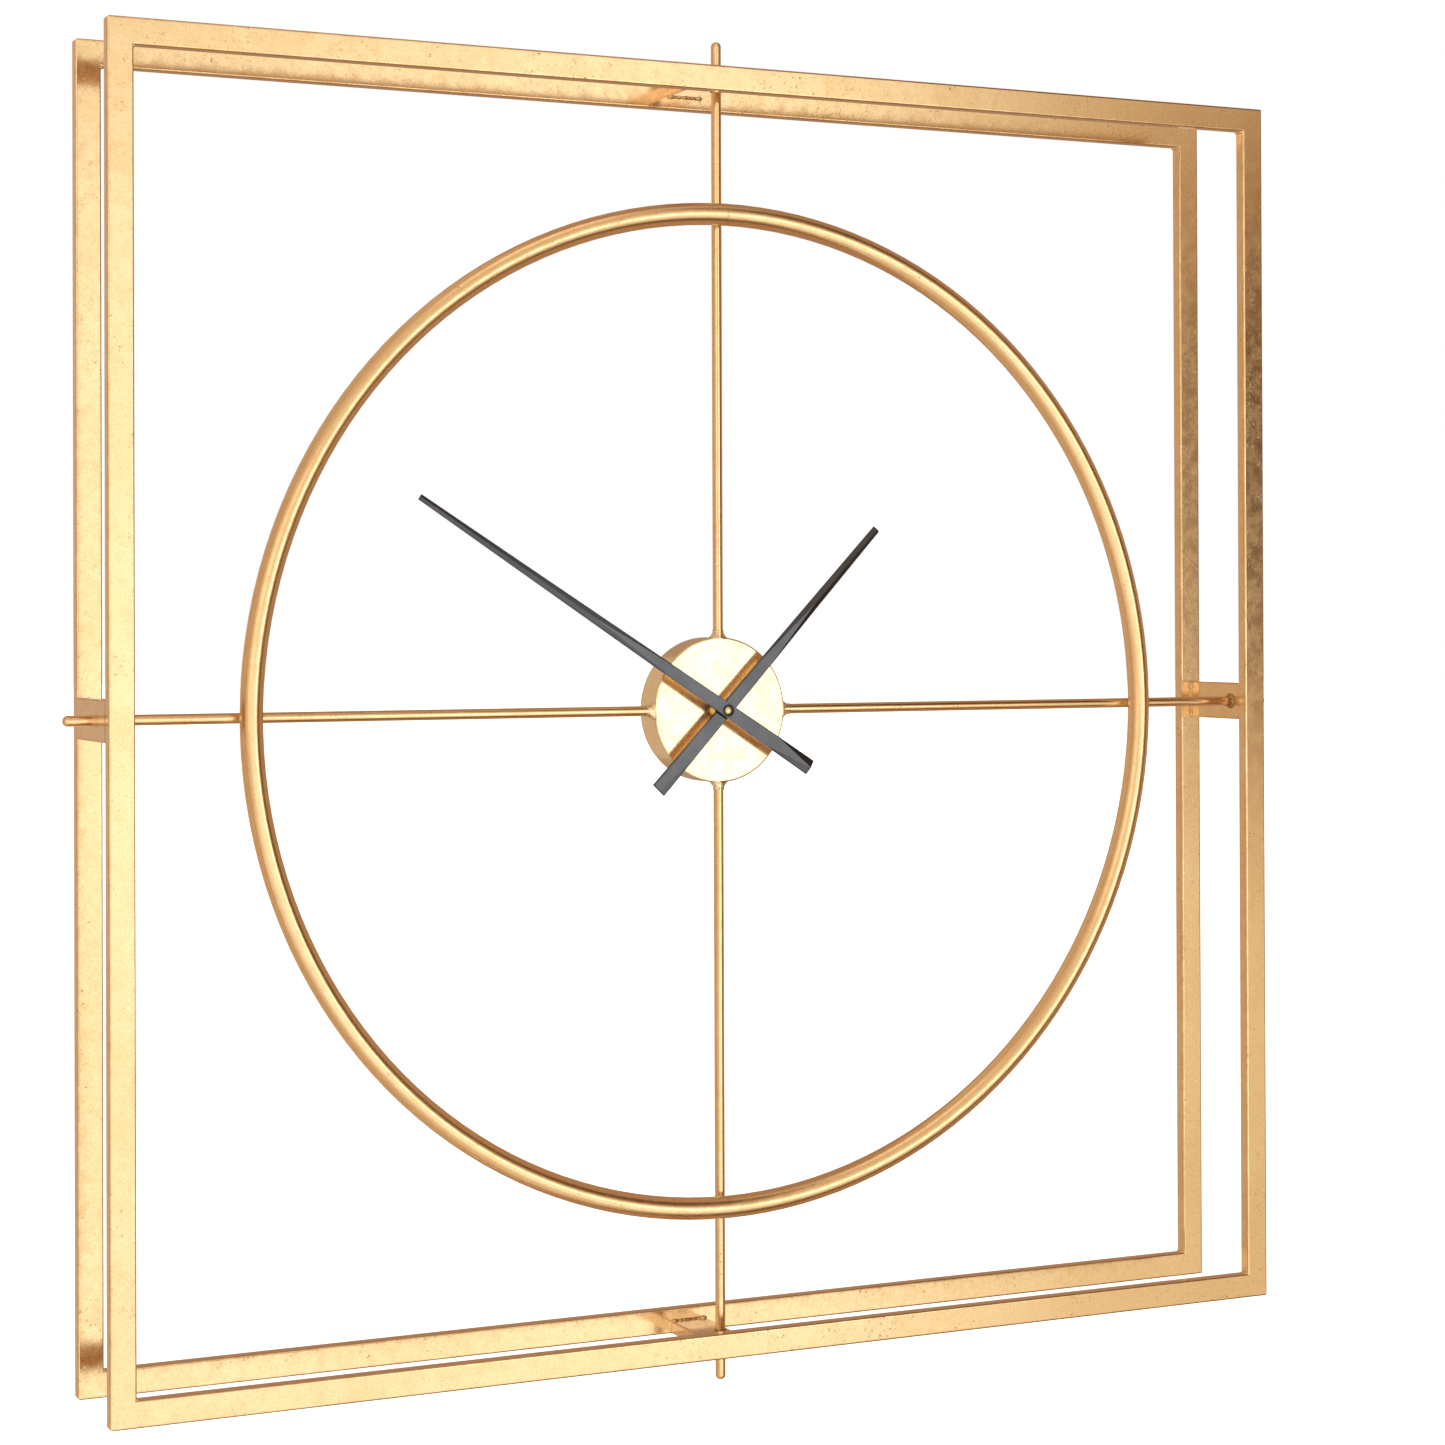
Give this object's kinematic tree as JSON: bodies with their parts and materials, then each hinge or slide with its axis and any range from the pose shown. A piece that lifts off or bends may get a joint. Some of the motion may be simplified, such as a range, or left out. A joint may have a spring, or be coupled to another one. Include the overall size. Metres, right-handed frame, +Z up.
{
  "type": "wall clock",
  "caption": "Open square wall clock: two tube frames joined by spacers, rods carrying a round dial ring and a hub drum, with bevelled hands on a quartz movement.",
  "frame": {"origin": "midway between the two hanging holes, on the wall-side face of the rear frame's top tube", "axes": "+X to the right as the clock is read, +Y into the wall, +Z up"},
  "size_m": [0.8528, 0.08, 0.8528],
  "materials": {
    "gold_leaf": "gold leaf over primed steel, mottled satin, worn brown at the edges",
    "ring_gold": "smoother satin gold leaf on round tube",
    "hub_gold": "burnished pale gold leaf, softly reflective",
    "weld_brown": "rough weld metal, brown gold",
    "hand_black": "satin charcoal black",
    "collet_black": "blackened brass",
    "brass": "bright turned brass",
    "rubber": "soft black rubber",
    "case_plastic": "fine-textured black plastic",
    "knob_plastic": "ribbed black plastic",
    "bridge_plastic": "natural off-white plastic",
    "gear_plastic": "natural acetal, slightly glossy",
    "magnet": "dark sintered magnet",
    "stator_steel": "punched soft-iron sheet",
    "copper": "enamelled copper wire",
    "board": "green circuit board",
    "epoxy": "black epoxy drop",
    "crystal_can": "drawn tin-plated can",
    "battery_sleeve": "plain dark sleeve with no print",
    "contact_steel": "nickel-plated spring steel"
  },
  "bodies": {
    "frame": {"front_frame_top": "gold_leaf", "rear_frame_top": "gold_leaf", "spacer_top": "gold_leaf", "rod_top": "gold_leaf", "front_frame_right": "gold_leaf", "rear_frame_right": "gold_leaf", "spacer_right": "gold_leaf", "rod_right": "gold_leaf", "front_frame_bottom": "gold_leaf", "rear_frame_bottom": "gold_leaf", "spacer_bottom": "gold_leaf", "rod_bottom": "gold_leaf", "front_frame_left": "gold_leaf", "rear_frame_left": "gold_leaf", "spacer_left": "gold_leaf", "rod_left": "gold_leaf", "ring_half_left": "ring_gold", "ring_half_right": "ring_gold", "hub_drum": "hub_gold", "hub_welds": "hub_gold", "rod_welds": "weld_brown", "spacer_welds": "gold_leaf", "movement_case": "case_plastic", "movement_cover": "case_plastic", "train_bridge": "bridge_plastic", "mounting_bushing": "brass", "rubber_gasket": "rubber", "brass_washer": "brass", "mounting_nut": "brass", "motor_stator": "stator_steel", "coil_core": "stator_steel", "coil_bobbin": "bridge_plastic", "coil_winding": "copper", "circuit_board": "board", "chip_cover": "epoxy", "quartz_crystal": "crystal_can", "battery_aa": "battery_sleeve", "contact_positive": "contact_steel", "contact_negative": "contact_steel"},
    "minute_hand_arbor": {"minute_shaft": "brass", "minute_hand": "hand_black", "minute_collet": "collet_black", "hand_nut": "brass"},
    "hour_hand_tube": {"hour_wheel": "gear_plastic", "hour_hand": "hand_black", "hour_collet": "collet_black"},
    "setting_arbor": {"minute_wheel": "gear_plastic", "setting_knob": "knob_plastic"},
    "centre_wheel_arbor": {"centre_wheel": "gear_plastic"},
    "third_wheel_arbor": {"third_wheel": "gear_plastic"},
    "seconds_wheel_arbor": {"seconds_wheel": "gear_plastic"},
    "step_wheel_arbor": {"step_wheel": "gear_plastic"},
    "rotor": {"rotor_pinion": "gear_plastic", "rotor_magnet": "magnet"}
  },
  "joints": [
    {"name": "minute_hand_turn", "type": "hinge", "parent": "frame", "child": "minute_hand_arbor", "pos_m": [0, -0.05, -0.3972], "axis": [0, 1, 0], "continuous": true},
    {"name": "hour_hand_turn", "type": "hinge", "parent": "frame", "child": "hour_hand_tube", "pos_m": [0, -0.05, -0.3972], "axis": [0, 1, 0], "continuous": true},
    {"name": "setting_knob_turn", "type": "hinge", "parent": "frame", "child": "setting_arbor", "pos_m": [-0.01039, -0.05, -0.3912], "axis": [0, 1, 0], "continuous": true},
    {"name": "seconds_wheel_turn", "type": "hinge", "parent": "frame", "child": "seconds_wheel_arbor", "pos_m": [0.01252, -0.05, -0.3829], "axis": [0, 1, 0], "continuous": true},
    {"name": "third_wheel_turn", "type": "hinge", "parent": "frame", "child": "third_wheel_arbor", "pos_m": [0.00827, -0.05, -0.39026], "axis": [0, 1, 0], "continuous": true},
    {"name": "centre_wheel_turn", "type": "hinge", "parent": "frame", "child": "centre_wheel_arbor", "pos_m": [0, -0.05, -0.3972], "axis": [0, 1, 0], "continuous": true},
    {"name": "step_wheel_turn", "type": "hinge", "parent": "frame", "child": "step_wheel_arbor", "pos_m": [0.00563, -0.05, -0.38168], "axis": [0, 1, 0], "continuous": true},
    {"name": "rotor_turn", "type": "hinge", "parent": "frame", "child": "rotor", "pos_m": [-0.00028, -0.05, -0.38064], "axis": [0, 1, 0], "continuous": true}
  ],
  "couplings": [
    {"joint": "hour_hand_turn", "follows": "minute_hand_turn", "ratio": 0.083333},
    {"joint": "setting_knob_turn", "follows": "minute_hand_turn", "ratio": -0.33333},
    {"joint": "third_wheel_turn", "follows": "seconds_wheel_turn", "ratio": -0.13333},
    {"joint": "centre_wheel_turn", "follows": "seconds_wheel_turn", "ratio": 0.016667},
    {"joint": "step_wheel_turn", "follows": "seconds_wheel_turn", "ratio": -6},
    {"joint": "rotor_turn", "follows": "seconds_wheel_turn", "ratio": 30}
  ]
}
